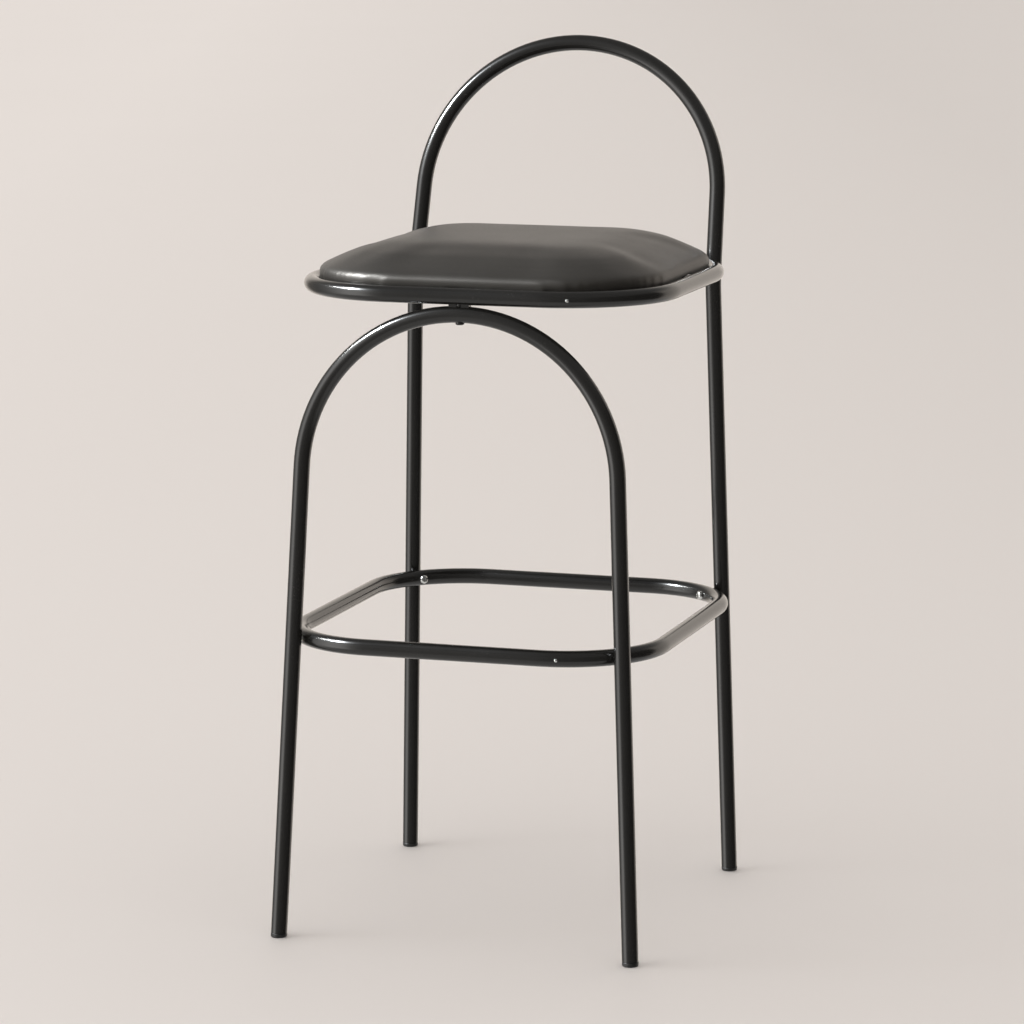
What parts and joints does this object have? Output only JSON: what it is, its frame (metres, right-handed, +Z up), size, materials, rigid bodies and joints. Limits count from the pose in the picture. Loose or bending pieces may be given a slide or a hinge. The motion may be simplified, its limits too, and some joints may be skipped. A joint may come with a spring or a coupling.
{
  "type": "bar stool with footrest",
  "caption": "Bar-height stool on two bent-tube hoops joined by a rounded footrest ring and a seat ring, with a padded seat and an arched tube backrest.",
  "frame": {"origin": "on the floor, under the centre of the stool's outline", "axes": "+Z up, +Y from the front of the seat to the backrest, +X to the right seen from the front"},
  "size_m": [0.452, 0.524, 1.0147],
  "materials": {
    "frame_paint": "gloss black powder coat",
    "bright_steel": "bright plated steel",
    "zinc_steel": "dull zinc plate",
    "glide_plastic": "moulded black nylon",
    "seat_leather": "soft dark warm-grey leatherette, satin",
    "foam": "open-cell polyurethane foam",
    "plywood": "bare birch plywood",
    "dust_cloth": "black spun-bonded cloth"
  },
  "bodies": {
    "root": {"front_leg_hoop": "frame_paint", "back_leg_hoop": "frame_paint", "seat_ring": "frame_paint", "foot_ring": "frame_paint", "foot_ring_front_right_bolt": "bright_steel", "foot_ring_front_right_rivet_nut": "zinc_steel", "foot_ring_front_left_bolt": "bright_steel", "foot_ring_front_left_rivet_nut": "zinc_steel", "foot_ring_back_right_bolt": "bright_steel", "foot_ring_back_right_rivet_nut": "zinc_steel", "foot_ring_back_left_bolt": "bright_steel", "foot_ring_back_left_rivet_nut": "zinc_steel", "seat_ring_back_right_bolt": "bright_steel", "seat_ring_back_right_rivet_nut": "zinc_steel", "seat_ring_back_left_bolt": "bright_steel", "seat_ring_back_left_rivet_nut": "zinc_steel", "front_crown_bolt": "frame_paint", "front_crown_rivet_nut": "frame_paint", "seat_ring_vent_plug": "bright_steel", "foot_ring_vent_plug": "bright_steel", "glide_front_right": "glide_plastic", "glide_front_left": "glide_plastic", "glide_back_right": "glide_plastic", "glide_back_left": "glide_plastic", "seat_board": "plywood", "seat_foam": "foam", "seat_cover": "seat_leather", "seat_dust_cloth": "dust_cloth", "seat_tab_front": "frame_paint", "seat_screw_front": "zinc_steel", "seat_t_nut_front": "zinc_steel", "seat_tab_back": "frame_paint", "seat_screw_back": "zinc_steel", "seat_t_nut_back": "zinc_steel", "seat_tab_left": "frame_paint", "seat_screw_left": "zinc_steel", "seat_t_nut_left": "zinc_steel", "seat_tab_right": "frame_paint", "seat_screw_right": "zinc_steel", "seat_t_nut_right": "zinc_steel"}
  },
  "joints": []
}
